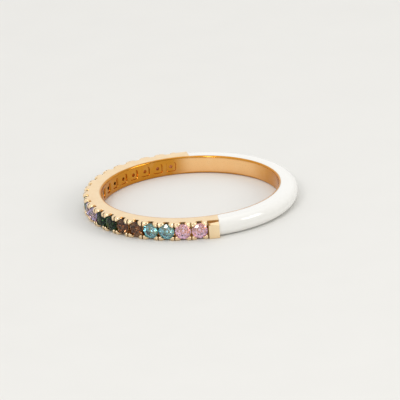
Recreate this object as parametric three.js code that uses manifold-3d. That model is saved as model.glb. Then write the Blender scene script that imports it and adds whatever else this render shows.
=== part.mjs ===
// A half-eternity stacking ring: a gold band with one row of round stones over the front half
// and white enamel over the back half. Millimetres, +Z up along the finger axis. The ring lies
// on its side on z = 0, and the middle of the row of stones faces -Y.
import * as THREE from 'three';
import { mergeVertices } from 'three/addons/utils/BufferGeometryUtils.js';
import Module from 'manifold-3d';

const wasm = await Module();
wasm.setup();

// The band.
const BORE_RADIUS = 8.5;
const BAND_RADIUS = 10.22;
const BAND_WIDTH = 1.75;
const BORE_BEVEL = 0.15;
const BAND_SEGMENTS = 60;

// The stones and their seats. Heights are measured from the bottom of a stone's girdle.
const STONE_COUNT = 20;
const STONE_PITCH = THREE.MathUtils.degToRad(9.057);
const STONE_RADIUS = 0.75;
const TABLE_RADIUS = 0.42;
const PAVILION_DEPTH = 0.64;
const GIRDLE_HEIGHT = 0.04;
const CROWN_HEIGHT = 0.2;
const GIRDLE_AT = 9.97;
const STONE_SIDES = 10;
const SEAT_GAP = 0.03;
const AZURE_RADIUS = 0.25;
const AZURE_RIM_RADIUS = 0.45;
const AZURE_DEPTH = 0.4;

// The cuts that part the metal round each stone, and the beads that hold it.
const NOTCH_WIDTH = 0.36;
const NOTCH_FLOOR = 9.74;
const NOTCH_CURVE_STEPS = 2;
const SLOT_WIDTH = 0.1;
const SLOT_FLOOR = 10.0;
const PRONG_TIP = 0.48;
const BEAD_RADIUS = 0.21;
const BEAD_TOP_RADIUS = 0.12;
const BEAD_TOP = 10.26;
const BEAD_FOOT = 9.9;
const BEAD_ACROSS = 0.54;
const BEAD_FROM_EDGE = 0.25;
const BEAD_SIDES = 6;

// The plain gold blocks at both ends of the row, and the enamel behind them.
const BLOCK_END = 1.87;
const LIP_RADIUS = 9.82;
const LIP_THICKNESS = 0.05;
const GROOVE_FLOOR = 9.62;
const GROOVE_FOOT = 0.19;
const STRIP_FOOT = 0.45;
const ENAMEL_RADIUS = 10.25;
const ENAMEL_SHOULDER = 0.76;
const SHOULDER_STEPS = 4;
const ENAMEL_INNER_RADIUS = 8.7;
const CORE_RADIUS = 9.75;
const CORE_WIDTH = 0.9;
const ENAMEL_GAP = 0.03;

// How far a cut runs on past what it cuts, how far in front of the finger axis the cut that
// frees the front half begins, and how near two corners are merged.
const CLEAR = 0.5;
const FRONT_START = 1.7;
const MERGE = 1e-5;

const HALF_WIDTH = BAND_WIDTH / 2;
const LAST_STONE = ((STONE_COUNT - 1) / 2) * STONE_PITCH;

const GOLD = { color: 0xe9b878, roughness: 0.22, metalness: 1.0 };
const ENAMEL = { color: 0xf4f3ee, roughness: 0.08, metalness: 0.0 };
const GEM = { roughness: 0.05, metalness: 0.0 };

// Two stones of each colour, in this order along the row.
const STONE_COLOURS = {
  garnet: 0x8a3a16,
  orange: 0xe87010,
  champagne: 0xdcbf7c,
  green: 0x4fa060,
  teal: 0x0f6c78,
  violet: 0x7d68ba,
  forest: 0x1c302a,
  smoke: 0x60473a,
  sky: 0x62b4c4,
  pink: 0xcf8fb8,
};

// A closed geometry as a solid that can be joined and cut.
function solid(geometry) {
  const bare = geometry.clone();
  bare.deleteAttribute('normal');
  bare.deleteAttribute('uv');
  const merged = mergeVertices(bare, MERGE);
  return new wasm.Manifold(new wasm.Mesh({
    numProp: 3,
    vertProperties: new Float32Array(merged.attributes.position.array),
    triVerts: new Uint32Array(merged.index.array),
  }));
}

// A solid as a geometry again.
function geometryOf(body) {
  const { vertProperties, triVerts } = body.getMesh();
  const geometry = new THREE.BufferGeometry();
  geometry.setAttribute('position', new THREE.BufferAttribute(vertProperties, 3));
  geometry.setIndex(new THREE.BufferAttribute(triVerts, 1));
  geometry.computeVertexNormals();
  return geometry;
}

function joined(bodies) {
  return wasm.Manifold.union(bodies);
}

// A ring about the finger axis from a closed section of [radius, height] corners, which run
// anticlockwise with the radius to the right and the height up.
function ringOf(section) {
  const corners = [...section, section[0]].map(([radius, height]) => new THREE.Vector2(radius, height));
  return solid(new THREE.LatheGeometry(corners, BAND_SEGMENTS).rotateX(Math.PI / 2));
}

// A body of revolution about a stone's axis, which points along -Y, out of the band.
function turned(outline, sides) {
  const corners = outline.map(([radius, height]) => new THREE.Vector2(radius, height));
  return new THREE.LatheGeometry(corners, sides).rotateX(Math.PI).translate(0, -GIRDLE_AT, 0);
}

// A block at the front of the band: its span across the front, along the finger axis and
// outwards from that axis.
function blockOf(across, along, outwards) {
  const size = [across, outwards, along].map(([low, high]) => high - low);
  const middle = [across, outwards, along].map(([low, high]) => (low + high) / 2);
  return solid(new THREE.BoxGeometry(...size).translate(middle[0], -middle[1], middle[2]));
}

// A bar along the front of the band with the given [outwards, along] section.
function barOf(section, across) {
  const shape = new THREE.Shape(section.map(([outwards, along]) => new THREE.Vector2(outwards, along)));
  const bar = new THREE.ExtrudeGeometry(shape, { depth: across[1] - across[0], bevelEnabled: false });
  const frontwards = new THREE.Matrix4().makeBasis(
    new THREE.Vector3(0, -1, 0), new THREE.Vector3(0, 0, 1), new THREE.Vector3(-1, 0, 0));
  return solid(bar.applyMatrix4(frontwards).translate(across[1], 0, 0));
}

// The same body moved round the band by an angle from the front, in radians.
function movedRound(body, angle) {
  return body.rotate([0, 0, THREE.MathUtils.radToDeg(angle)]);
}

function stoneAngle(index) {
  return (index - (STONE_COUNT - 1) / 2) * STONE_PITCH;
}

function eachStone(make) {
  return Array.from({ length: STONE_COUNT }, (_, index) => make(stoneAngle(index)));
}

// Both ends of the row, the second as a mirror image of the first.
function bothEnds(body) {
  return [movedRound(body, LAST_STONE), movedRound(body, LAST_STONE).mirror([1, 0, 0])];
}

function fullBand() {
  const h = HALF_WIDTH;
  return ringOf([
    [BORE_RADIUS, -h + BORE_BEVEL], [BORE_RADIUS + BORE_BEVEL, -h],
    [BAND_RADIUS, -h], [BAND_RADIUS, h], [BORE_RADIUS + BORE_BEVEL, h], [BORE_RADIUS, h - BORE_BEVEL],
  ]);
}

// A round brilliant in outline, grown by a gap.
function stoneOutline(gap) {
  const top = GIRDLE_HEIGHT + CROWN_HEIGHT + gap;
  return [
    [0, -PAVILION_DEPTH - gap], [STONE_RADIUS + gap, -gap],
    [STONE_RADIUS + gap, GIRDLE_HEIGHT + gap], [TABLE_RADIUS + gap, top], [0, top],
  ];
}

// The open seat under and round a stone, with the azure: a small hole that flares to the bore.
function seatCut() {
  const bore = BORE_RADIUS - GIRDLE_AT;
  const azureTop = -PAVILION_DEPTH * (1 - AZURE_RADIUS / STONE_RADIUS) - SEAT_GAP;
  const mouth = BAND_RADIUS + CLEAR - GIRDLE_AT;
  const outline = [
    [0, bore - CLEAR], [AZURE_RIM_RADIUS, bore - CLEAR], [AZURE_RIM_RADIUS, bore],
    [AZURE_RADIUS, bore + AZURE_DEPTH], [AZURE_RADIUS, azureTop],
    [STONE_RADIUS + SEAT_GAP, -SEAT_GAP], [STONE_RADIUS + SEAT_GAP, mouth], [0, mouth],
  ];
  return solid(turned(outline, STONE_SIDES));
}

// The U-shaped notch that opens both sides of a seat.
function notchCut() {
  const half = NOTCH_WIDTH / 2;
  const top = BAND_RADIUS + CLEAR;
  const shape = new THREE.Shape();
  shape.moveTo(half, -top);
  shape.lineTo(half, -NOTCH_FLOOR - half);
  shape.absarc(0, -NOTCH_FLOOR - half, half, 0, Math.PI, false);
  shape.lineTo(-half, -top);
  const depth = BAND_WIDTH + 2 * CLEAR;
  const options = { depth, curveSegments: NOTCH_CURVE_STEPS, bevelEnabled: false };
  return solid(new THREE.ExtrudeGeometry(shape, options).translate(0, 0, -depth / 2));
}

// The saw cut at each end of a stone's cell.
function slotCut() {
  const along = [-HALF_WIDTH - CLEAR, HALF_WIDTH + CLEAR];
  return blockOf([-SLOT_WIDTH / 2, SLOT_WIDTH / 2], along, [SLOT_FLOOR, BAND_RADIUS + CLEAR]);
}

// The cut along the middle of the row, which leaves a prong on each side between the stones.
function middleCut() {
  const half = STONE_PITCH * GIRDLE_AT / 2;
  return blockOf([-half, half], [-PRONG_TIP, PRONG_TIP], [NOTCH_FLOOR, BAND_RADIUS + CLEAR]);
}

// The four rounded beads that are pushed over a stone's corners.
function beads() {
  const top = BEAD_TOP - GIRDLE_AT;
  const foot = BEAD_FOOT - GIRDLE_AT;
  const outline = [[0, foot], [BEAD_RADIUS, foot], [BEAD_TOP_RADIUS, top], [0, top]];
  const bead = solid(turned(outline, BEAD_SIDES));
  const along = HALF_WIDTH - BEAD_FROM_EDGE;
  const corners = [[-1, -1], [-1, 1], [1, -1], [1, 1]];
  const four = joined(corners.map(([x, z]) => bead.translate([x * BEAD_ACROSS, 0, z * along])));
  return four.subtract(solid(turned(stoneOutline(SEAT_GAP), STONE_SIDES)));
}

// The cut along the upper outer corner of an end block: a groove under the lip of the side
// face, and a strip that slopes from the groove to the block's flat outer face.
function stripCut() {
  const h = HALF_WIDTH;
  const section = [
    [BAND_RADIUS + CLEAR, h + CLEAR], [LIP_RADIUS, h + CLEAR], [LIP_RADIUS, h - LIP_THICKNESS],
    [GROOVE_FLOOR, h - LIP_THICKNESS], [GROOVE_FLOOR, h - GROOVE_FOOT], [LIP_RADIUS, h - GROOVE_FOOT],
    [BAND_RADIUS, h - STRIP_FOOT], [BAND_RADIUS + CLEAR, h - STRIP_FOOT],
  ];
  return barOf(section, [STONE_PITCH * GIRDLE_AT / 2, BLOCK_END + CLEAR]);
}

// Everything round the front, up to the flat ends of the enamel at the given distance from
// the last stones' axes.
function frontSector(end) {
  const along = [-BAND_WIDTH, BAND_WIDTH];
  const outer = BAND_RADIUS + CLEAR;
  const middle = blockOf([-outer, outer], along, [FRONT_START, outer]);
  const ending = blockOf([-outer / 2, end], along, [BORE_RADIUS - CLEAR, outer]);
  return joined([middle, ...bothEnds(ending)]);
}

// The channel that leaves a lining and a core of gold under the enamel.
function enamelChannel() {
  const inner = ENAMEL_INNER_RADIUS - ENAMEL_GAP;
  const outer = ENAMEL_RADIUS + CLEAR;
  const side = HALF_WIDTH + CLEAR;
  const core = CORE_WIDTH / 2;
  const channel = ringOf([
    [inner, core], [CORE_RADIUS, core], [CORE_RADIUS, -core], [inner, -core],
    [inner, -side], [outer, -side], [outer, side], [inner, side],
  ]);
  return channel.subtract(frontSector(BLOCK_END));
}

// The band is cut first and its beads are raised last, so that they reach over the stones.
function bandBody() {
  const cell = joined([
    seatCut(), notchCut(), middleCut(), movedRound(slotCut(), -STONE_PITCH / 2),
  ]);
  const cuts = [
    ...eachStone((angle) => movedRound(cell, angle)),
    movedRound(slotCut(), LAST_STONE + STONE_PITCH / 2),
    ...bothEnds(stripCut()),
    enamelChannel(),
  ];
  const raised = beads();
  return joined([fullBand().subtract(joined(cuts)), ...eachStone((angle) => movedRound(raised, angle))]);
}

// A quarter round from the flat side face to the flat outer face, both ends included.
function shoulder(side) {
  const radius = ENAMEL_RADIUS - ENAMEL_SHOULDER;
  const height = HALF_WIDTH - ENAMEL_SHOULDER;
  return Array.from({ length: SHOULDER_STEPS + 1 }, (_, step) => {
    const angle = (step / SHOULDER_STEPS) * (Math.PI / 2);
    const outwards = radius + ENAMEL_SHOULDER * Math.cos(angle);
    return [outwards, side * (height + ENAMEL_SHOULDER * Math.sin(angle))];
  });
}

// The enamel wraps the core on both sides and over the outside, with rounded shoulders.
function enamelBody() {
  const core = CORE_WIDTH / 2 + ENAMEL_GAP;
  const under = CORE_RADIUS + ENAMEL_GAP;
  const shell = ringOf([
    [ENAMEL_INNER_RADIUS, core], [under, core], [under, -core], [ENAMEL_INNER_RADIUS, -core],
    [ENAMEL_INNER_RADIUS, -HALF_WIDTH], ...shoulder(-1).reverse(), ...shoulder(1),
    [ENAMEL_INNER_RADIUS, HALF_WIDTH],
  ]);
  return shell.subtract(frontSector(BLOCK_END + ENAMEL_GAP));
}

function part(name, geometry, finish) {
  const mesh = new THREE.Mesh(geometry, new THREE.MeshStandardMaterial(finish));
  mesh.name = name;
  return mesh;
}

function stones() {
  const colours = Object.values(STONE_COLOURS).flatMap((colour) => [colour, colour]);
  return colours.map((color, index) => {
    const cut = turned(stoneOutline(0), STONE_SIDES);
    const number = String(index + 1).padStart(2, '0');
    const stone = part(`stone_${number}`, cut, { color, ...GEM });
    stone.rotation.z = stoneAngle(index);
    return stone;
  });
}

const ring = new THREE.Group();
ring.name = 'stacking_ring';
ring.position.z = HALF_WIDTH;
ring.add(part('band', geometryOf(bandBody()), GOLD));
ring.add(part('enamel', geometryOf(enamelBody()), ENAMEL));
ring.add(...stones());

export default ring;
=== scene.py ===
"""A half-eternity stacking ring on a pale surface: gold, round brilliants and white enamel.

Shapes are modelled in millimetres about the finger axis, with the middle of the row of stones
facing -Y, and are set to metres on the bench once they are finished.
"""

import logging
import math
from collections.abc import Callable, Iterable, Mapping, Sequence
from dataclasses import dataclass, field
from enum import Enum
from typing import Any

import bpy
from mathutils import Matrix, Vector


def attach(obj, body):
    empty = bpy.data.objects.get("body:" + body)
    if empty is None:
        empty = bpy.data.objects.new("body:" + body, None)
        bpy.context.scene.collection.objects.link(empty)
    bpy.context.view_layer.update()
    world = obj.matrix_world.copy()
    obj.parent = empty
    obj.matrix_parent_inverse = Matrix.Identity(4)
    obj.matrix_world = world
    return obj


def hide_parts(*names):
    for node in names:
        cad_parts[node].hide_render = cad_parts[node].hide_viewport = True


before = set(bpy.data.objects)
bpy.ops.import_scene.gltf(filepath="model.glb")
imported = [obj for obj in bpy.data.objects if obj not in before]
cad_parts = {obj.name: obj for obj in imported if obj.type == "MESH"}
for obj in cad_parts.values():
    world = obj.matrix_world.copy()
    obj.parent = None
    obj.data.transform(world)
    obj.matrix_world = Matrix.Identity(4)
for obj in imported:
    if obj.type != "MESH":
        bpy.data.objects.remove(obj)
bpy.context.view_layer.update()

LOG = logging.getLogger("stacking_ring")

MM = 0.001
FULL_TURN = 2 * math.pi
BODY = "root"
ZONE = "zone"

# Sizes that the finishes and the pieces share, in millimetres and degrees.
HALF_WIDTH = 0.875
PITCH = 9.057

# Where cutters end, outside the ring and beside it, and how near to a face counts as on it.
OUTSIDE = 11.0
BESIDE = 1.2
NEAR = 0.01

# The steepest edge that the metal and the enamel are shaded smooth over, in degrees.
SMOOTH_BELOW = 32

Place = tuple[float, float, float]
Colour = tuple[float, float, float]


# --- Shader trees ------------------------------------------------------------------------------


class Value:
    """A number that varies over a surface, which Python's operators work on."""

    def __init__(self, tree: "ShaderTree", socket: bpy.types.NodeSocket) -> None:
        """Wraps a socket.

        Args:
            tree: The tree that the socket is in.
            socket: The output socket that holds the number.
        """
        self.tree = tree
        self.socket = socket

    def _maths(self, operation: str, *values: "Value | float") -> "Value":
        """Adds one Math node on the given values and returns its result."""
        return self.tree.maths(operation, *values)

    def __add__(self, other: "Value | float") -> "Value":
        """This number plus another."""
        return self._maths("ADD", self, other)

    def __sub__(self, other: "Value | float") -> "Value":
        """This number less another."""
        return self._maths("SUBTRACT", self, other)

    def __rsub__(self, other: float) -> "Value":
        """A plain number less this one."""
        return self._maths("SUBTRACT", other, self)

    def __mul__(self, other: "Value | float") -> "Value":
        """This number times another."""
        return self._maths("MULTIPLY", self, other)

    __radd__ = __add__
    __rmul__ = __mul__


class ShaderTree:
    """The node tree of a material or of the world, filled from code."""

    # A Mix node has sockets for each kind of value, of which these hold its colours.
    MIX_FIRST, MIX_SECOND, MIX_RESULT = 6, 7, 2

    def __init__(self, tree: bpy.types.NodeTree) -> None:
        """Starts an empty tree.

        Args:
            tree: The tree to fill, whose nodes are cleared.
        """
        self.tree = tree
        tree.nodes.clear()

    def node(self, kind: str, settings: Mapping[str, Any] | None = None,
             inputs: Mapping[str | int, Any] | None = None) -> bpy.types.Node:
        """Adds a node.

        Args:
            kind: The node's type, such as ShaderNodeMix.
            settings: Its own settings, and "stops" for a ramp's positions and colours.
            inputs: A value or a link for each socket, by name or number.

        Returns:
            The node.
        """
        node = self.tree.nodes.new(kind)
        for name, setting in (settings or {}).items():
            if name == "stops":
                self._set_stops(node.color_ramp, setting)
            else:
                setattr(node, name, setting)
        for name, value in (inputs or {}).items():
            self._feed(node.inputs[name], value)
        return node

    def _set_stops(self, ramp: bpy.types.ColorRamp, stops: Sequence[tuple[float, Colour]]) -> None:
        """Gives a ramp its stops, each a position and a colour."""
        while len(ramp.elements) < len(stops):
            ramp.elements.new(1.0)
        for element, (position, colour) in zip(ramp.elements, stops):
            element.position = position
            element.color = (*colour, 1.0)

    def _feed(self, socket: bpy.types.NodeSocket, value: Any) -> None:
        """Links a socket, or sets its value; a colour of three numbers is made opaque."""
        if isinstance(value, Value):
            self.tree.links.new(value.socket, socket)
        elif isinstance(value, bpy.types.NodeSocket):
            self.tree.links.new(value, socket)
        elif socket.type == "RGBA" and len(value) == 3:
            socket.default_value = (*value, 1.0)
        else:
            socket.default_value = value

    def maths(self, operation: str, *values: Value | float) -> Value:
        """Adds a Math node and returns its result."""
        node = self.node("ShaderNodeMath", {"operation": operation}, dict(enumerate(values)))
        return Value(self, node.outputs[0])

    def highest(self, first: Value, *others: Value) -> Value:
        """The highest of several numbers."""
        for other in others:
            first = self.maths("MAXIMUM", first, other)
        return first

    def place(self) -> bpy.types.NodeSocket:
        """The surface's place on its object, in metres."""
        return self.node("ShaderNodeTexCoord").outputs["Object"]

    def axes(self, place: bpy.types.NodeSocket) -> tuple[Value, Value, Value]:
        """Splits a place into its three numbers."""
        split = self.node("ShaderNodeSeparateXYZ", inputs={0: place})
        return tuple(Value(self, output) for output in split.outputs)

    def noise(self, place: bpy.types.NodeSocket, size: float, detail: float = 2.0,
              roughness: float = 0.5) -> Value:
        """A grain of the given size in millimetres.

        Args:
            place: Where on the surface.
            size: The size of one grain, in millimetres.
            detail: How many finer layers it has.
            roughness: How strong those layers are.

        Returns:
            A number about 0.5.
        """
        node = self.node("ShaderNodeTexNoise", inputs={
            "Vector": place, "Scale": 1 / (size * MM), "Detail": detail, "Roughness": roughness})
        return Value(self, node.outputs[0])

    def between(self, value: Value, low: float, high: float) -> Value:
        """Runs from 0 to 1 smoothly as a value goes from low to high."""
        node = self.node("ShaderNodeMapRange", {"interpolation_type": "SMOOTHSTEP"}, {
            "Value": value, "From Min": low, "From Max": high, "To Min": 0.0, "To Max": 1.0})
        return Value(self, node.outputs["Result"])

    def along(self, length: Value, span: tuple[float, float]) -> Value:
        """Runs from 0 to 1 smoothly as a length goes over a span given in millimetres."""
        start, end = span
        return self.between(length, start * MM, end * MM)

    def mixed(self, factor: Value | float, first: Any, second: Any) -> bpy.types.NodeSocket:
        """Mixes two colours."""
        node = self.node("ShaderNodeMix", {"data_type": "RGBA"},
                         {"Factor": factor, self.MIX_FIRST: first, self.MIX_SECOND: second})
        return node.outputs[self.MIX_RESULT]

    def bump(self, height: Value, depth: float, strength: float) -> bpy.types.NodeSocket:
        """A normal bent by a height, whose full range is a depth in millimetres."""
        node = self.node("ShaderNodeBump", inputs={
            "Strength": strength, "Distance": depth * MM, "Height": height})
        return node.outputs["Normal"]

    def surface(self, inputs: Mapping[str, Any]) -> None:
        """Ends the tree in a Principled shader with the given sockets."""
        shader = self.node("ShaderNodeBsdfPrincipled", inputs=inputs)
        self.node("ShaderNodeOutputMaterial", inputs={"Surface": shader.outputs[0]})


def new_material(name: str) -> tuple[bpy.types.Material, ShaderTree]:
    """Makes a material with an empty tree."""
    material = bpy.data.materials.new(name)
    material.use_nodes = True
    return material, ShaderTree(material.node_tree)


# --- Finishes ----------------------------------------------------------------------------------


@dataclass(frozen=True)
class GoldFinish:
    """Warm gold, with satin side faces and a polished bore; the hollows round the stones and the saw
    cuts between them carry painted shade.

    The bore's deeper tone is a painted reflection of gold in gold, deepest behind the stones, by the
    enamel and along its edges.
    """

    pale: Colour = (1.0, 0.81, 0.535)
    # Painted reflection: the bore's tone, deeper than the outside's, stands in for gold reflected in
    # gold.
    deep: Colour = (0.97, 0.59, 0.27)
    # Painted shade for the hollows round the stones.
    hollow_shade: Colour = (0.62, 0.36, 0.13)
    # Painted reflection and shade: the bore's deepest tone.
    deepest_reflection_tone: Colour = (0.63, 0.27, 0.03)
    # Painted shade in the fine saw cuts between the stones' cells.
    cut: Colour = (0.30, 0.15, 0.04)
    polish: float = 0.14
    satin: float = 0.33
    roughness_spread: float = 0.08
    grain: float = 0.05
    grain_detail: float = 3.0
    grain_roughness: float = 0.65
    grain_depth: float = 0.004
    grain_strength: float = 0.5
    polished_grain: float = 0.15
    cloud: float = 0.9
    cloud_share: float = 0.3
    pale_share: float = 0.85
    hollow_shade_share: float = 0.8
    side_inset: tuple[float, float] = (0.02, 0.005)
    bore_edge: tuple[float, float] = (8.6, 8.76)
    hollow_shade_edge: tuple[float, float] = (9.86, 10.06)
    # Where the painted reflection deepens the bore: behind the stones, by the enamel and along its
    # edges.
    reflection_behind_stones: tuple[float, float] = (1.6, -0.6)
    reflection_by_enamel: tuple[float, float] = (6.3, 8.6)
    reflection_by_sides: tuple[float, float] = (0.6, 0.8)
    cut_shade_edge: tuple[float, float] = (0.045, 0.075)
    cut_shade_radius: float = 10.0

    def material(self) -> bpy.types.Material:
        """Makes the material."""
        material, tree = new_material("gold")
        place = tree.place()
        x, y, height = tree.axes(place)
        radius = tree.maths("SQRT", x * x + y * y)
        from_middle = tree.maths("ABSOLUTE", height - HALF_WIDTH * MM)
        side = tree.along(from_middle, tuple(HALF_WIDTH - inset for inset in self.side_inset))
        outside = tree.along(radius, self.bore_edge)
        crest = tree.along(radius, self.hollow_shade_edge)
        # Painted shade: darker below the prongs' crests, away from the side faces and outside the bore.
        hollow_shade = (1 - crest) * (1 - side) * outside
        # Painted reflection and shade, deepest behind the stones, by the enamel and along the bore's
        # edges.
        deeper_reflection = tree.highest(tree.along(y, self.reflection_behind_stones), tree.along(y, self.reflection_by_enamel),
                              tree.along(from_middle, self.reflection_by_sides))
        # Painted shade in the saw cuts.
        cut = self._painted_cut_shade(tree, x, y) * (1 - side) * outside
        grain = tree.noise(place, self.grain, self.grain_detail, self.grain_roughness)
        cloud = tree.noise(place, self.cloud)
        # The bore's colour is painted reflection of gold in gold.
        bore = tree.mixed(deeper_reflection, self.deep, self.deepest_reflection_tone)
        paleness = outside * self.pale_share + (cloud - 0.5) * self.cloud_share
        body = tree.mixed(paleness, bore, self.pale)
        # Lays the painted hollow shade over the metal.
        uncut = tree.mixed(hollow_shade * self.hollow_shade_share, body, self.hollow_shade)
        roughness = side * (self.satin - self.polish) + self.polish
        relief = grain * (side * (1 - self.polished_grain) + self.polished_grain)
        tree.surface({
            "Base Color": tree.mixed(cut, uncut, self.cut),
            "Metallic": 1.0,
            "Roughness": roughness + (grain - 0.5) * self.roughness_spread,
            "Normal": tree.bump(relief, self.grain_depth, self.grain_strength),
        })
        return material

    def _painted_cut_shade(self, tree: ShaderTree, x: Value, y: Value) -> Value:
        """Is 1 in the fine cuts between the stones' cells and 0 elsewhere; it masks the painted shade
        there.
        """
        angle = tree.maths("ARCTAN2", x, y * -1)
        cells = tree.maths("PINGPONG", angle, math.radians(PITCH) / 2)
        low, high = (edge / self.cut_shade_radius for edge in self.cut_shade_edge)
        return 1 - tree.between(cells, low, high)


@dataclass(frozen=True)
class EnamelFinish:
    """Glossy white enamel, with the faint waviness of a fired surface."""

    colour: Colour = (0.81, 0.805, 0.775)
    tint: float = 1.04
    roughness: float = 0.1
    roughness_spread: float = 0.06
    coat: float = 0.6
    coat_roughness: float = 0.03
    wave: float = 1.4
    wave_depth: float = 0.01
    wave_strength: float = 0.25
    speck: float = 0.08

    def material(self) -> bpy.types.Material:
        """Makes the material."""
        material, tree = new_material("enamel")
        place = tree.place()
        wave = tree.noise(place, self.wave)
        speck = tree.noise(place, self.speck)
        tinted = tuple(part * self.tint for part in self.colour)
        smoothest = self.roughness - self.roughness_spread / 2
        tree.surface({
            "Base Color": tree.mixed(wave, self.colour, tinted),
            "Roughness": speck * self.roughness_spread + smoothest,
            "Coat Weight": self.coat,
            "Coat Roughness": self.coat_roughness,
            "Normal": tree.bump(wave, self.wave_depth, self.wave_strength),
        })
        return material


class StoneColour(Enum):
    """The ten stones, in their order along the row.

    Each has its body colour, how fast light takes on that colour, for each millimetre, and its
    index of refraction.
    """

    GARNET = (0.76, 0.27, 0.03), 1.1, 1.7
    ORANGE = (1.0, 0.47, 0.01), 0.85, 1.7
    CHAMPAGNE = (0.97, 0.80, 0.42), 0.4, 1.7
    GREEN = (0.20, 0.62, 0.28), 0.7, 1.62
    TEAL = (0.0, 0.42, 0.43), 1.1, 1.52
    VIOLET = (0.54, 0.44, 0.96), 0.24, 2.1
    FOREST = (0.004, 0.28, 0.18), 1.9, 1.36
    SMOKE = (0.42, 0.23, 0.06), 1.1, 1.48
    SKY = (0.01, 0.44, 0.56), 0.24, 2.05
    PINK = (0.93, 0.50, 0.82), 0.12, 2.16

    @property
    def body(self) -> Colour:
        """The colour deep inside."""
        return self.value[0]

    @property
    def strength(self) -> float:
        """How fast light takes on the body colour."""
        return self.value[1]

    @property
    def refraction(self) -> float:
        """The index of refraction."""
        return self.value[2]


@dataclass(frozen=True)
class GemFinish:
    """A clear cut stone, whose colour deepens with the way that light takes through it.

    Its base colour has painted light at the centre and painted shade towards the rim.
    """

    colour: StoneColour
    # How much paler the centre is drawn, as painted light.
    core: float = 0.12
    rim_shade_edge: tuple[float, float] = (0.25, 0.9)
    rim_shade_share: float = 0.9
    cloud: float = 0.5
    cloud_share: float = 0.4

    def material(self) -> bpy.types.Material:
        """Makes the material."""
        material, tree = new_material(f"gem_{self.colour.name.lower()}")
        zone = tree.node("ShaderNodeAttribute", {"attribute_name": ZONE}).outputs["Fac"]
        cloud = tree.noise(tree.place(), self.cloud)
        body = self.colour.body
        # Painted light: the centre is paler than the body colour; towards the rim it is painted shade.
        light = tuple(1 - self.core * (1 - part) for part in body)
        rim_shade = tree.between(Value(tree, zone), *self.rim_shade_edge)
        rim_shade_and_cloud = rim_shade * self.rim_shade_share + (cloud - 0.5) * self.cloud_share
        shader = tree.node("ShaderNodeBsdfPrincipled", inputs={
            "Base Color": tree.mixed(rim_shade_and_cloud, light, body),
            "Roughness": 0.0,
            "IOR": self.colour.refraction,
            "Transmission Weight": 1.0,
        })
        inside = tree.node("ShaderNodeVolumeAbsorption", inputs={
            "Color": body, "Density": self.colour.strength / MM})
        tree.node("ShaderNodeOutputMaterial", inputs={
            "Surface": shader.outputs[0], "Volume": inside.outputs[0]})
        return material


@dataclass(frozen=True)
class FloorFinish:
    """A matt off-white surface with a very faint mottle."""

    colour: Colour = (0.76, 0.755, 0.73)
    tint: float = 0.97
    mottle: float = 6.0
    roughness: float = 0.7

    def material(self) -> bpy.types.Material:
        """Makes the material."""
        material, tree = new_material("floor")
        mottle = tree.noise(tree.place(), self.mottle)
        tinted = tuple(part * self.tint for part in self.colour)
        tree.surface({
            "Base Color": tree.mixed(mottle, self.colour, tinted),
            "Roughness": self.roughness,
        })
        return material


# --- Modelling tools ---------------------------------------------------------------------------


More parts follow.
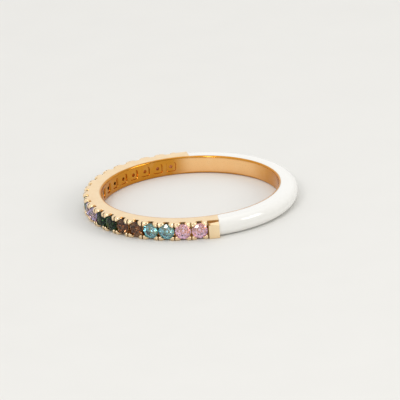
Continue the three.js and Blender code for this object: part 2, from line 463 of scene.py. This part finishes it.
class Bench:
    """Blender's modelling operators, used on one object at a time, in millimetres."""

    SPIN_STEPS = 240
    WELD = 1e-4
    GRIND_WELD = 1e-5
    PEBBLE_SIDES = 16
    PEBBLE_RINGS = 10

    def clear(self) -> None:
        """Leaves edit mode and deselects everything."""
        if bpy.context.object is not None and bpy.context.object.mode != "OBJECT":
            bpy.ops.object.mode_set(mode="OBJECT")
        bpy.ops.object.select_all(action="DESELECT")

    def pick(self, piece: bpy.types.Object) -> None:
        """Makes one object the only selected one."""
        self.clear()
        piece.select_set(True)
        bpy.context.view_layer.objects.active = piece

    def settle(self, name: str) -> bpy.types.Object:
        """Names the object that was just added and puts its place into its mesh."""
        piece = bpy.context.object
        piece.name = piece.data.name = name
        self.pick(piece)
        bpy.ops.object.transform_apply(location=True, rotation=True, scale=True)
        return piece

    def edit(self, piece: bpy.types.Object, kind: str = "VERT") -> None:
        """Opens an object in edit mode with nothing selected."""
        self.pick(piece)
        bpy.ops.object.mode_set(mode="EDIT")
        bpy.ops.mesh.select_mode(type=kind)
        bpy.ops.mesh.select_all(action="DESELECT")

    def choose(self, piece: bpy.types.Object, kind: str, wanted: Callable[[Vector], bool]) -> None:
        """Opens an object in edit mode with the corners, edges or faces at wanted places selected.

        Args:
            piece: The object.
            kind: VERT, EDGE or FACE.
            wanted: Says of a place whether it is wanted; an edge or face is where its middle is.
        """
        self.edit(piece, kind)
        bpy.ops.object.mode_set(mode="OBJECT")
        mesh = piece.data
        parts = {"VERT": mesh.vertices, "EDGE": mesh.edges, "FACE": mesh.polygons}[kind]
        for part in parts:
            corners = [part.index] if kind == "VERT" else part.vertices
            places = [mesh.vertices[corner].co for corner in corners]
            part.select = wanted(sum(places, Vector()) / len(places))
        bpy.ops.object.mode_set(mode="EDIT")

    def soften(self, piece: bpy.types.Object, radius: float, steps: int,
               wanted: Callable[[Vector], bool]) -> None:
        """Rounds the edges whose middles are at wanted places.

        Args:
            piece: The object.
            radius: The rounding radius.
            steps: The number of faces across the rounding.
            wanted: Says of an edge's middle whether it is wanted.
        """
        self.choose(piece, "EDGE", wanted)
        bpy.ops.mesh.bevel(offset=radius, segments=steps, affect="EDGES")
        self.close(piece)

    def grind(self, piece: bpy.types.Object, first: Vector, second: Vector, third: Vector) -> None:
        """Grinds away all that is outside the plane through three points, seen from the origin."""
        outwards = (second - first).cross(third - first).normalized()
        if outwards.dot(first) < 0:
            outwards.negate()
        self.edit(piece)
        bpy.ops.mesh.select_all(action="SELECT")
        bpy.ops.mesh.bisect(plane_co=first, plane_no=outwards, use_fill=True, clear_outer=True,
                            threshold=self.GRIND_WELD)
        bpy.ops.object.mode_set(mode="OBJECT")

    def close(self, piece: bpy.types.Object) -> bpy.types.Object:
        """Merges doubles, points all faces outwards and leaves edit mode."""
        self.edit(piece)
        bpy.ops.mesh.select_all(action="SELECT")
        bpy.ops.mesh.remove_doubles(threshold=self.WELD)
        bpy.ops.mesh.normals_make_consistent(inside=False)
        bpy.ops.object.mode_set(mode="OBJECT")
        return piece

    def block(self, name: str, low: Place, high: Place) -> bpy.types.Object:
        """Adds a plain block between two corners."""
        middle = [(a + b) / 2 for a, b in zip(low, high)]
        bpy.ops.mesh.primitive_cube_add(size=1, location=middle)
        bpy.context.object.scale = [b - a for a, b in zip(low, high)]
        return self.settle(name)

    def turned(self, name: str, sections: Sequence[tuple[float, float]], sides: int) -> bpy.types.Object:
        """Builds a body up from a disc along a stone's axis, which points out of the band.

        Args:
            name: The object's name.
            sections: The height from the finger axis and the radius of each section.
            sides: The number of sides.

        Returns:
            The closed body, at the front of the band.
        """
        height, radius = sections[0]
        bpy.ops.mesh.primitive_circle_add(vertices=sides, radius=radius, fill_type="NGON",
                                          location=(0, 0, height))
        piece = self.settle(name)
        self.edit(piece)
        bpy.ops.mesh.select_all(action="SELECT")
        for next_height, next_radius in sections[1:]:
            lift = (0, 0, next_height - height)
            spread = next_radius / radius
            bpy.ops.mesh.extrude_region_move(TRANSFORM_OT_translate={"value": lift})
            bpy.ops.transform.resize(value=(spread, spread, 1), center_override=(0, 0, next_height))
            height, radius = next_height, next_radius
        self.close(piece)
        piece.data.transform(Matrix.Rotation(math.pi / 2, 4, "X"))
        return piece

    def pebble(self, name: str, place: Place, sizes: Place) -> bpy.types.Object:
        """Adds an ellipsoid, to raise as a bead or to cut a dent with."""
        bpy.ops.mesh.primitive_uv_sphere_add(segments=self.PEBBLE_SIDES, radius=1, location=place,
                                             ring_count=self.PEBBLE_RINGS)
        bpy.context.object.scale = sizes
        return self.settle(name)

    def ring(self, name: str, radii: tuple[float, float], heights: tuple[float, float],
             rounds: Mapping[str, tuple[float, int]] | None = None) -> bpy.types.Object:
        """Spins a rectangle about the finger axis.

        Args:
            name: The object's name.
            radii: The inner and outer radius.
            heights: The lowest and highest place along the finger axis.
            rounds: The rounding radius and steps of the "inner" and "outer" corners.

        Returns:
            The closed ring.
        """
        inner, outer = radii
        low, high = heights
        middle = ((inner + outer) / 2, 0, (low + high) / 2)
        bpy.ops.mesh.primitive_plane_add(size=1, location=middle, rotation=(math.pi / 2, 0, 0))
        bpy.context.object.scale = (outer - inner, high - low, 1)
        piece = self.settle(name)
        for corner, (radius, steps) in (rounds or {}).items():
            at_outer = corner == "outer"
            self.choose(piece, "VERT", lambda co: (co.x > middle[0]) == at_outer)
            bpy.ops.mesh.bevel(offset=radius, segments=steps, affect="VERTICES")
            bpy.ops.object.mode_set(mode="OBJECT")
        self.edit(piece, "FACE")
        bpy.ops.mesh.select_all(action="SELECT")
        bpy.ops.mesh.delete(type="ONLY_FACE")
        bpy.ops.mesh.select_mode(type="VERT")
        bpy.ops.mesh.select_all(action="SELECT")
        bpy.ops.mesh.spin(steps=self.SPIN_STEPS, angle=FULL_TURN, center=(0, 0, 0), axis=(0, 0, 1))
        return self.close(piece)

    def combine(self, piece: bpy.types.Object, tool: bpy.types.Object, how: str) -> bpy.types.Object:
        """Joins, cuts or crosses an object with another, which is used up.

        Args:
            piece: The object that is kept.
            tool: The other object.
            how: UNION, DIFFERENCE or INTERSECT.

        Returns:
            The kept object.
        """
        self.pick(piece)
        modifier = piece.modifiers.new(how.lower(), "BOOLEAN")
        modifier.operation = how
        modifier.object = tool
        modifier.solver = "MANIFOLD"
        bpy.ops.object.modifier_apply(modifier=modifier.name)
        bpy.data.objects.remove(tool)
        return piece

    def copy(self, piece: bpy.types.Object, place: Matrix) -> bpy.types.Object:
        """Copies an object with a mesh of its own, moved by a matrix."""
        twin = piece.copy()
        twin.data = piece.data.copy()
        bpy.context.collection.objects.link(twin)
        twin.data.transform(place)
        if place.determinant() < 0:
            twin.data.flip_normals()
        return twin

    def join(self, pieces: Iterable[bpy.types.Object], name: str) -> bpy.types.Object:
        """Joins objects into one mesh."""
        pieces = list(pieces)
        self.pick(pieces[0])
        for piece in pieces[1:]:
            piece.select_set(True)
        bpy.ops.object.join()
        pieces[0].name = pieces[0].data.name = name
        return pieces[0]

    def spread(self, piece: bpy.types.Object, places: Iterable[Matrix]) -> bpy.types.Object:
        """Replaces an object by one mesh of its copies at the given places."""
        name = piece.name
        copies = [self.copy(piece, place) for place in places]
        bpy.data.objects.remove(piece)
        return self.join(copies, name)

    def finish(self, piece: bpy.types.Object, lift: float, smooth: float | None) -> None:
        """Turns a finished piece to metres, stands it on the surface and shades it.

        Args:
            piece: The finished piece.
            lift: How far it is raised, in millimetres.
            smooth: The steepest edge that is shaded smooth, in degrees, or None for flat faces.
        """
        piece.data.transform(Matrix.Scale(MM, 4) @ Matrix.Translation((0, 0, lift)))
        self.pick(piece)
        if smooth is None:
            bpy.ops.object.shade_flat()
        else:
            bpy.ops.object.shade_smooth_by_angle(angle=math.radians(smooth))


BENCH = Bench()


# --- The ring ----------------------------------------------------------------------------------


@dataclass(frozen=True)
class RingPlan:
    """The sizes that the ring's pieces share, in millimetres and degrees."""

    bore_radius: float = 8.5
    half_width: float = HALF_WIDTH
    stone_count: int = 20
    pitch: float = PITCH
    stone_radius: float = 0.75
    girdle_at: float = 9.97
    girdle_height: float = 0.04
    table_height: float = 0.25
    pavilion_slope: float = 0.869
    block_end: float = 1.87
    core_foot: float = 8.0
    core_radius: float = 9.75
    core_half_width: float = 0.45
    enamel_inner: float = 8.69
    enamel_radius: float = 10.25

    def turn(self, degrees: float) -> Matrix:
        """Moves a thing round the band from the front, towards +X."""
        return Matrix.Rotation(math.radians(degrees), 4, "Z")

    def half_cell(self) -> float:
        """Half of a stone's share of the row, measured across it."""
        return self.girdle_at * math.sin(math.radians(self.pitch) / 2)

    def stone_angles(self) -> list[float]:
        """Each stone's angle from the front."""
        middle = (self.stone_count - 1) / 2
        return [(index - middle) * self.pitch for index in range(self.stone_count)]

    def gap_angles(self) -> list[float]:
        """The angle of each boundary of the stones' cells, both ends included."""
        middle = self.stone_count / 2
        return [(index - middle) * self.pitch for index in range(self.stone_count + 1)]

    def end_places(self) -> list[Matrix]:
        """Moves a thing from the front to each end of the row, the second one mirrored."""
        last = self.turn(self.stone_angles()[-1])
        return [last, Matrix.Scale(-1, 4, (1, 0, 0)) @ last]

    def core(self, gap: float = 0.0) -> bpy.types.Object:
        """The core under the enamel, with a gap round it, as a whole ring to cut with."""
        reach = self.core_half_width + gap
        return BENCH.ring("core", (self.core_foot, self.core_radius + gap), (-reach, reach))

    def front_sector(self, end: float) -> bpy.types.Object:
        """All that is in front of the enamel, whose ends are flat.

        Args:
            end: The distance from the last stones' axes to the enamel.

        Returns:
            A block to cut with.
        """
        reach, side = 11.5, 2.0
        front, start, root = -1.5, -4.0, -7.0
        sector = BENCH.block("sector", (-reach, -reach, -side), (reach, front, side))
        ending = BENCH.block("ending", (start, -reach, -side), (end, root, side))
        for place in self.end_places():
            BENCH.combine(sector, BENCH.copy(ending, place), "UNION")
        bpy.data.objects.remove(ending)
        return sector


@dataclass
class Band:
    """The gold band: lining, core, prongs with beads round the open seats, and two end blocks."""

    plan: RingPlan
    bore_round: float = 0.16
    channel_side: float = 1.5
    notch_width: float = 0.35
    notch_floor: float = 9.74
    prong_top: float = 10.24
    prong_root: float = 9.5
    prong_inset: float = 0.001
    prong_tip: float = 0.48
    prong_corner: float = 0.44
    prong_round: float = 0.2
    tip_round: float = 0.1
    seat_sides: int = 40
    seat_gap: float = 0.008
    mouth_radius: float = 0.73
    mouth_rise: float = 0.03
    mouth_top: float = 10.8
    hole_radius: float = 0.17
    hole_overrun: float = 0.3
    azure_half: tuple[float, float] = (0.5, 0.42)
    azure_span: tuple[float, float] = (8.4, 8.6)
    azure_corner: float = 0.16
    azure_inset: float = 0.05
    slot_width: float = 0.1
    slot_floor: float = 10.0
    bead_sizes: Place = (0.13, 0.12, 0.15)
    bead_place: Place = (0.63, 10.15, 0.58)
    crown_foot: tuple[float, float] = (0.4, 0.3)
    crown_top: float = 0.43
    block_top: float = 10.24
    block_root: float = 8.9
    block_round: float = 0.08
    lip_radius: float = 9.82
    lip_thickness: float = 0.05
    lip_overlap: float = 0.04
    groove_floor: float = 9.62
    groove_foot: float = 0.21
    strip_foot: tuple[float, float] = (0.22, 0.47)
    pit_place: tuple[float, float] = (0.95, 0.31)
    pit_sizes: Place = (0.08, 0.3, 0.1)
    finish: GoldFinish = field(default_factory=GoldFinish)

    def build(self) -> bpy.types.Object:
        """Makes the band as one closed mesh.

        Returns:
            The finished band.
        """
        plan = self.plan
        side = plan.half_width
        band = BENCH.ring("gold_band", (plan.bore_radius, self.notch_floor), (-side, side),
                          {"inner": (self.bore_round, 5)})
        BENCH.combine(band, self._enamel_channel(), "DIFFERENCE")
        BENCH.combine(band, self._prongs(), "UNION")
        BENCH.combine(band, self._end_blocks(), "UNION")
        BENCH.combine(band, self._seats(), "DIFFERENCE")
        BENCH.combine(band, self._azures(), "DIFFERENCE")
        BENCH.combine(band, self._saw_cuts(), "DIFFERENCE")
        BENCH.combine(band, self._beads(), "UNION")
        BENCH.close(band)
        BENCH.finish(band, side, SMOOTH_BELOW)
        return band

    def _enamel_channel(self) -> bpy.types.Object:
        """The space round the core that the enamel fills."""
        plan = self.plan
        channel = BENCH.ring("channel", (plan.enamel_inner, OUTSIDE),
                             (-self.channel_side, self.channel_side))
        BENCH.combine(channel, plan.core(), "DIFFERENCE")
        return BENCH.combine(channel, plan.front_sector(plan.block_end), "DIFFERENCE")

    def _prongs(self) -> bpy.types.Object:
        """The round-ended prongs between the notches, on both sides of the band."""
        plan = self.plan
        half = plan.half_cell() - self.notch_width / 2
        side = plan.half_width - self.prong_inset
        front, root = NEAR - self.prong_top, -self.prong_root
        prong = BENCH.block("prongs", (-half, -self.prong_top, self.prong_tip), (half, root, side))
        tip = self.prong_tip + NEAR
        BENCH.soften(prong, self.prong_corner, 6, lambda co: co.y < front and abs(co.x) > half - NEAR)
        BENCH.soften(prong, self.prong_round, 5, lambda co: co.z > side - NEAR and co.y < root - NEAR)
        BENCH.soften(prong, self.tip_round, 3, lambda co: co.z < tip and co.y < root - NEAR)
        both = BENCH.spread(prong, [Matrix.Identity(4), Matrix.Diagonal((1, 1, -1, 1))])
        prongs = BENCH.spread(both, [plan.turn(angle) for angle in plan.gap_angles()])
        far, foot = 3.0, -9.0
        beyond = BENCH.block("beyond", (plan.half_cell(), -OUTSIDE, -BESIDE), (far, foot, BESIDE))
        return BENCH.combine(prongs, BENCH.spread(beyond, plan.end_places()), "DIFFERENCE")

    def _end_blocks(self) -> bpy.types.Object:
        """The plain blocks at both ends of the row, grooved and bright-cut along the upper edge."""
        plan = self.plan
        side, root = plan.half_width, -self.block_root
        start, end = plan.half_cell(), plan.block_end
        step = side - self.groove_foot
        block = BENCH.block("end_block", (start, -self.block_top, -side), (end, root, step))
        lower, front = NEAR - side, NEAR - self.block_top
        BENCH.soften(block, self.block_round, 3, lambda co: co.z < lower and co.y < front)
        near, far = (Vector((x, -self.block_top, side - foot))
                     for x, foot in zip((start, end), self.strip_foot))
        BENCH.grind(block, near, far, Vector((end, -self.lip_radius - self.lip_overlap, step)))
        BENCH.close(block)
        inner = BENCH.block("inner", (start, -self.groove_floor, 0), (end, root, side))
        lip = BENCH.block("lip", (start, -self.lip_radius, side - self.lip_thickness),
                          (end, root, side))
        BENCH.combine(block, inner, "UNION")
        BENCH.combine(block, lip, "UNION")
        across, drop = self.pit_place
        pit = BENCH.pebble("pit", (across, -self.block_top, side - drop), self.pit_sizes)
        BENCH.combine(block, pit, "DIFFERENCE")
        return BENCH.spread(block, plan.end_places())

    def _seats(self) -> bpy.types.Object:
        """The open seats, each with its girdle groove, its cone and a small hole to the bore."""
        plan, gap = self.plan, self.seat_gap
        base = plan.girdle_at
        girdle_top = base + plan.girdle_height
        groove = plan.stone_radius + gap
        cone_foot = base - (plan.stone_radius - self.hole_radius) * plan.pavilion_slope
        seat = BENCH.turned("seat", [
            (plan.bore_radius - self.hole_overrun, self.hole_radius), (cone_foot, self.hole_radius),
            (base - gap, groove), (girdle_top + gap, groove),
            (girdle_top + self.mouth_rise, self.mouth_radius), (self.mouth_top, self.mouth_radius),
        ], self.seat_sides)
        return BENCH.spread(seat, [plan.turn(angle) for angle in plan.stone_angles()])

    def _azures(self) -> bpy.types.Object:
        """The round-cornered square flares that open the holes to the bore."""
        corners = [half * math.sqrt(2) for half in self.azure_half]
        azure = BENCH.turned("azure", list(zip(self.azure_span, corners)), 4)
        azure.data.transform(Matrix.Rotation(math.pi / 4, 4, "Y"))
        low, high = self.azure_span[0] + self.azure_inset, self.azure_span[1] - self.azure_inset
        BENCH.soften(azure, self.azure_corner, 4, lambda co: low < -co.y < high)
        return BENCH.spread(azure, [self.plan.turn(angle) for angle in self.plan.stone_angles()])

    def _saw_cuts(self) -> bpy.types.Object:
        """The fine cuts across the band between neighbouring stones."""
        half = self.slot_width / 2
        cut = BENCH.block("saw_cut", (-half, -OUTSIDE, -BESIDE), (half, -self.slot_floor, BESIDE))
        return BENCH.spread(cut, [self.plan.turn(angle) for angle in self.plan.gap_angles()])

    def _beads(self) -> bpy.types.Object:
        """The beads pushed over each stone's corners, hollowed where they meet its crown."""
        plan, gap = self.plan, self.seat_gap
        across, outwards, along = self.bead_place
        bead = BENCH.pebble("beads", (across, -outwards, along), self.bead_sizes)
        flips = [Matrix.Diagonal((x, 1, z, 1)) for x in (-1, 1) for z in (-1, 1)]
        beads = BENCH.spread(bead, flips)
        base, reach = plan.girdle_at, plan.stone_radius + gap
        drop, foot = self.crown_foot
        crown = BENCH.turned("crown", [
            (base - drop, foot), (base, reach), (base + plan.girdle_height, reach),
            (base + plan.table_height + gap, self.crown_top),
        ], self.seat_sides)
        BENCH.combine(beads, crown, "DIFFERENCE")
        return BENCH.spread(beads, [plan.turn(angle) for angle in plan.stone_angles()])


@dataclass
class Enamel:
    """The white enamel, which wraps the core with rounded shoulders."""

    plan: RingPlan
    shoulder: float = 0.76
    lip: float = 0.04
    gap: float = 0.004
    finish: EnamelFinish = field(default_factory=EnamelFinish)

    def build(self) -> bpy.types.Object:
        """Makes the enamel as one closed mesh.

        Returns:
            The finished enamel.
        """
        plan, gap = self.plan, self.gap
        side = plan.half_width
        shell = BENCH.ring("white_enamel", (plan.enamel_inner + gap, plan.enamel_radius),
                           (-side, side), {"outer": (self.shoulder, 18), "inner": (self.lip, 3)})
        BENCH.combine(shell, plan.core(gap), "DIFFERENCE")
        BENCH.combine(shell, plan.front_sector(plan.block_end + gap), "DIFFERENCE")
        BENCH.close(shell)
        BENCH.finish(shell, side, SMOOTH_BELOW)
        return shell


@dataclass
class Brilliant:
    """A round brilliant, cut facet by facet from a disc. Lengths are in girdle radii."""

    girdle: float = 0.055
    table: float = 0.56
    crown_angle: float = 33.0
    pavilion_angle: float = 41.0
    star_length: float = 0.5
    lower_half_length: float = 0.77
    girdle_sides: int = 64
    main_facets: int = 8
    edge_step: float = 0.1

    def point(self, radius: float, degrees: float, height: float) -> Vector:
        """A place on the stone, which stands on +Z."""
        angle = math.radians(degrees)
        return Vector((radius * math.cos(angle), radius * math.sin(angle), height))

    def build(self) -> bpy.types.Object:
        """Cuts the stone.

        Returns:
            The stone, with a girdle radius of 1 and the bottom of its girdle at the origin.
        """
        step = 360 // self.main_facets
        half = step / 2
        rise = math.tan(math.radians(self.crown_angle))
        fall = math.tan(math.radians(self.pavilion_angle))
        spread = math.cos(math.radians(half))
        top = self.girdle + (1 - self.table) * rise
        table_edge = self.table * spread
        star = table_edge + self.star_length * (1 - table_edge)
        star_height = self.girdle + (1 - star * spread) * rise
        low = 1 - self.lower_half_length
        low_height = -(1 - low * spread) * fall
        bpy.ops.mesh.primitive_cylinder_add(vertices=self.girdle_sides, radius=1, depth=top + fall,
                                            location=(0, 0, (top - fall) / 2))
        stone = BENCH.settle("brilliant")
        drop = Vector((0, 0, self.girdle))
        culet = Vector((0, 0, -fall))
        for main in range(0, 360, step):
            star_tip = self.point(star, main + half, star_height)
            low_tip = self.point(low, main + half, low_height)
            corner = self.point(self.table, main, top)
            next_corner = self.point(self.table, main + step, top)
            across = self.point(1, main + 90, 0) * self.edge_step
            BENCH.grind(stone, corner, self.point(1, main, self.girdle), corner + across)
            BENCH.grind(stone, corner, next_corner, star_tip)
            BENCH.grind(stone, self.point(1, main, 0), culet, across + culet)
            for begin in (main, main + half):
                first, second = (self.point(1, begin + more, self.girdle) for more in (0, half))
                BENCH.grind(stone, first, second, star_tip)
                BENCH.grind(stone, first - drop, second - drop, low_tip)
        BENCH.close(stone)
        self._mark_zones(stone)
        return stone

    def _mark_zones(self, stone: bpy.types.Object) -> None:
        """Stores each corner's distance from the stone's axis, from 0 at the culet to 1."""
        zones = stone.data.attributes.new(ZONE, "FLOAT", "POINT")
        for corner in stone.data.vertices:
            zones.data[corner.index].value = corner.co.xy.length


@dataclass
class StoneRow:
    """The row of stones, two of each colour."""

    plan: RingPlan
    of_each: int = 2
    turn_step: float = 37.0
    cut: Brilliant = field(default_factory=Brilliant)

    def build(self) -> list[tuple[bpy.types.Object, StoneColour]]:
        """Cuts one stone and sets a copy of it in each seat.

        Returns:
            Each stone with its colour, in the order of the row.
        """
        plan = self.plan
        rough = self.cut.build()
        colours = [colour for colour in StoneColour for _ in range(self.of_each)]
        stones = []
        for index, (angle, colour) in enumerate(zip(plan.stone_angles(), colours)):
            stone = BENCH.copy(rough, self._seat(index, angle))
            stone.name = stone.data.name = f"gem_{index + 1:02d}"
            BENCH.finish(stone, plan.half_width, None)
            stones.append((stone, colour))
        bpy.data.objects.remove(rough)
        return stones

    def _seat(self, index: int, angle: float) -> Matrix:
        """Where a stone sits: each is turned about its own axis by a different amount."""
        plan = self.plan
        turned = Matrix.Rotation(math.radians(self.turn_step * index), 4, "Z")
        outwards = Matrix.Rotation(math.pi / 2, 4, "X")
        seated = Matrix.Translation((0, -plan.girdle_at, 0)) @ outwards @ turned
        return plan.turn(angle) @ seated @ Matrix.Scale(plan.stone_radius, 4)


# --- The studio --------------------------------------------------------------------------------


@dataclass
class Studio:
    """The pale surface, soft daylight and the camera."""

    plan: RingPlan
    azimuth: float = 82.4
    elevation: float = 19.97
    roll: float = 3.93
    distance: float = 700.0
    view_width: float = 38.26
    aim: tuple[float, float] = (0.90, -0.48)
    sensor: float = 36.0
    floor_size: float = 12
    lamps: tuple[tuple[str, Place, float], ...] = (
        ("window", (170, 330, 190), 160), ("spark", (300, -250, 340), 110))
    lamp_power: float = 0.4
    lamp_colour: Colour = (1.0, 0.98, 0.95)
    glow: float = 1.55
    sky: tuple[tuple[float, Colour], ...] = (
        (0.0, (0.55, 0.545, 0.53)), (0.35, (0.65, 0.645, 0.635)), (0.7, (0.56, 0.56, 0.56)),
        (0.95, (0.85, 0.85, 0.85)))
    dim_side: Place = (0.60, 0.60, 0.53)
    dim_edge: tuple[float, float] = (0.5, 0.95)
    dim_share: float = 0.5
    dim_colour: Colour = (0.16, 0.15, 0.14)

    def camera(self) -> None:
        """Sets up the camera on its long lens."""
        azimuth, elevation, roll = (math.radians(a) for a in (self.azimuth, self.elevation, self.roll))
        across = Vector((math.cos(azimuth), math.sin(azimuth), 0))
        back = Vector((math.sin(azimuth) * math.cos(elevation),
                       -math.cos(azimuth) * math.cos(elevation), math.sin(elevation)))
        upwards = back.cross(across)
        right = across * math.cos(roll) - upwards * math.sin(roll)
        up = across * math.sin(roll) + upwards * math.cos(roll)
        target = Vector((0, 0, self.plan.half_width)) + right * self.aim[0] + up * self.aim[1]
        data = bpy.data.cameras.new("camera")
        data.sensor_width = self.sensor
        data.lens = self.sensor * self.distance / self.view_width
        camera = bpy.data.objects.new("camera", data)
        bpy.context.collection.objects.link(camera)
        turn = Matrix((right, up, back)).transposed().to_4x4()
        camera.matrix_world = Matrix.Translation((target + back * self.distance) * MM) @ turn
        bpy.context.scene.camera = camera

    def floor(self) -> None:
        """Lays the surface, big enough to fill every view."""
        BENCH.clear()
        bpy.ops.mesh.primitive_plane_add(size=self.floor_size)
        floor = BENCH.settle("floor")
        floor.data.materials.append(FloorFinish().material())

    def light(self, name: str, place: Place, size: float) -> None:
        """Hangs a soft square light that faces the ring.

        Args:
            name: The light's name.
            place: Where it hangs, in millimetres.
            size: Its side, in millimetres.
        """
        data = bpy.data.lights.new(name, "AREA")
        data.size = size * MM
        data.energy = self.lamp_power
        data.color = self.lamp_colour
        lamp = bpy.data.objects.new(name, data)
        bpy.context.collection.objects.link(lamp)
        lamp.location = Vector(place) * MM
        lamp.rotation_euler = (-lamp.location).to_track_quat("-Z", "Y").to_euler()

    def lights(self) -> None:
        """Hangs the lights and fills the room with pale light."""
        for name, place, size in self.lamps:
            self.light(name, place, size)
        world = bpy.data.worlds.new("room")
        bpy.context.scene.world = world
        world.use_nodes = True
        tree = ShaderTree(world.node_tree)
        direction = tree.node("ShaderNodeTexCoord").outputs["Generated"]
        _, _, height = tree.axes(direction)
        ramp = tree.node("ShaderNodeValToRGB", {"stops": self.sky}, {0: height})
        facing = tree.node("ShaderNodeVectorMath", {"operation": "DOT_PRODUCT"},
                           {0: direction, 1: self.dim_side})
        dim = tree.between(Value(tree, facing.outputs["Value"]), *self.dim_edge) * self.dim_share
        glow = tree.node("ShaderNodeBackground", inputs={
            "Color": tree.mixed(dim, ramp.outputs[0], self.dim_colour), "Strength": self.glow})
        tree.node("ShaderNodeOutputWorld", inputs={"Surface": glow.outputs[0]})


# --- Putting it together -----------------------------------------------------------------------


def dress(piece: bpy.types.Object, material: bpy.types.Material, node: str) -> None:
    """Gives a piece its finish, its body and the CAD node that it stands for.

    Args:
        piece: The piece.
        material: Its finish.
        node: The CAD node that it replaces.
    """
    piece.data.materials.clear()
    piece.data.materials.append(material)
    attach(piece, BODY)
    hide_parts(node)
    LOG.info("%s: %d faces, for %s", piece.name, len(piece.data.polygons), node)


def main() -> None:
    """Builds the ring and the studio round it."""
    logging.basicConfig(level=logging.INFO, format="%(name)s %(message)s")
    plan = RingPlan()
    studio = Studio(plan)
    studio.camera()

    band = Band(plan)
    dress(band.build(), band.finish.material(), "band")
    enamel = Enamel(plan)
    dress(enamel.build(), enamel.finish.material(), "enamel")
    finishes = {colour: GemFinish(colour).material() for colour in StoneColour}
    for index, (stone, colour) in enumerate(StoneRow(plan).build()):
        dress(stone, finishes[colour], f"stone_{index + 1:02d}")

    studio.floor()
    studio.lights()
    bpy.context.scene.view_settings.view_transform = "Standard"
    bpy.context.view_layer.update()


if __name__ == "__main__":
    main()
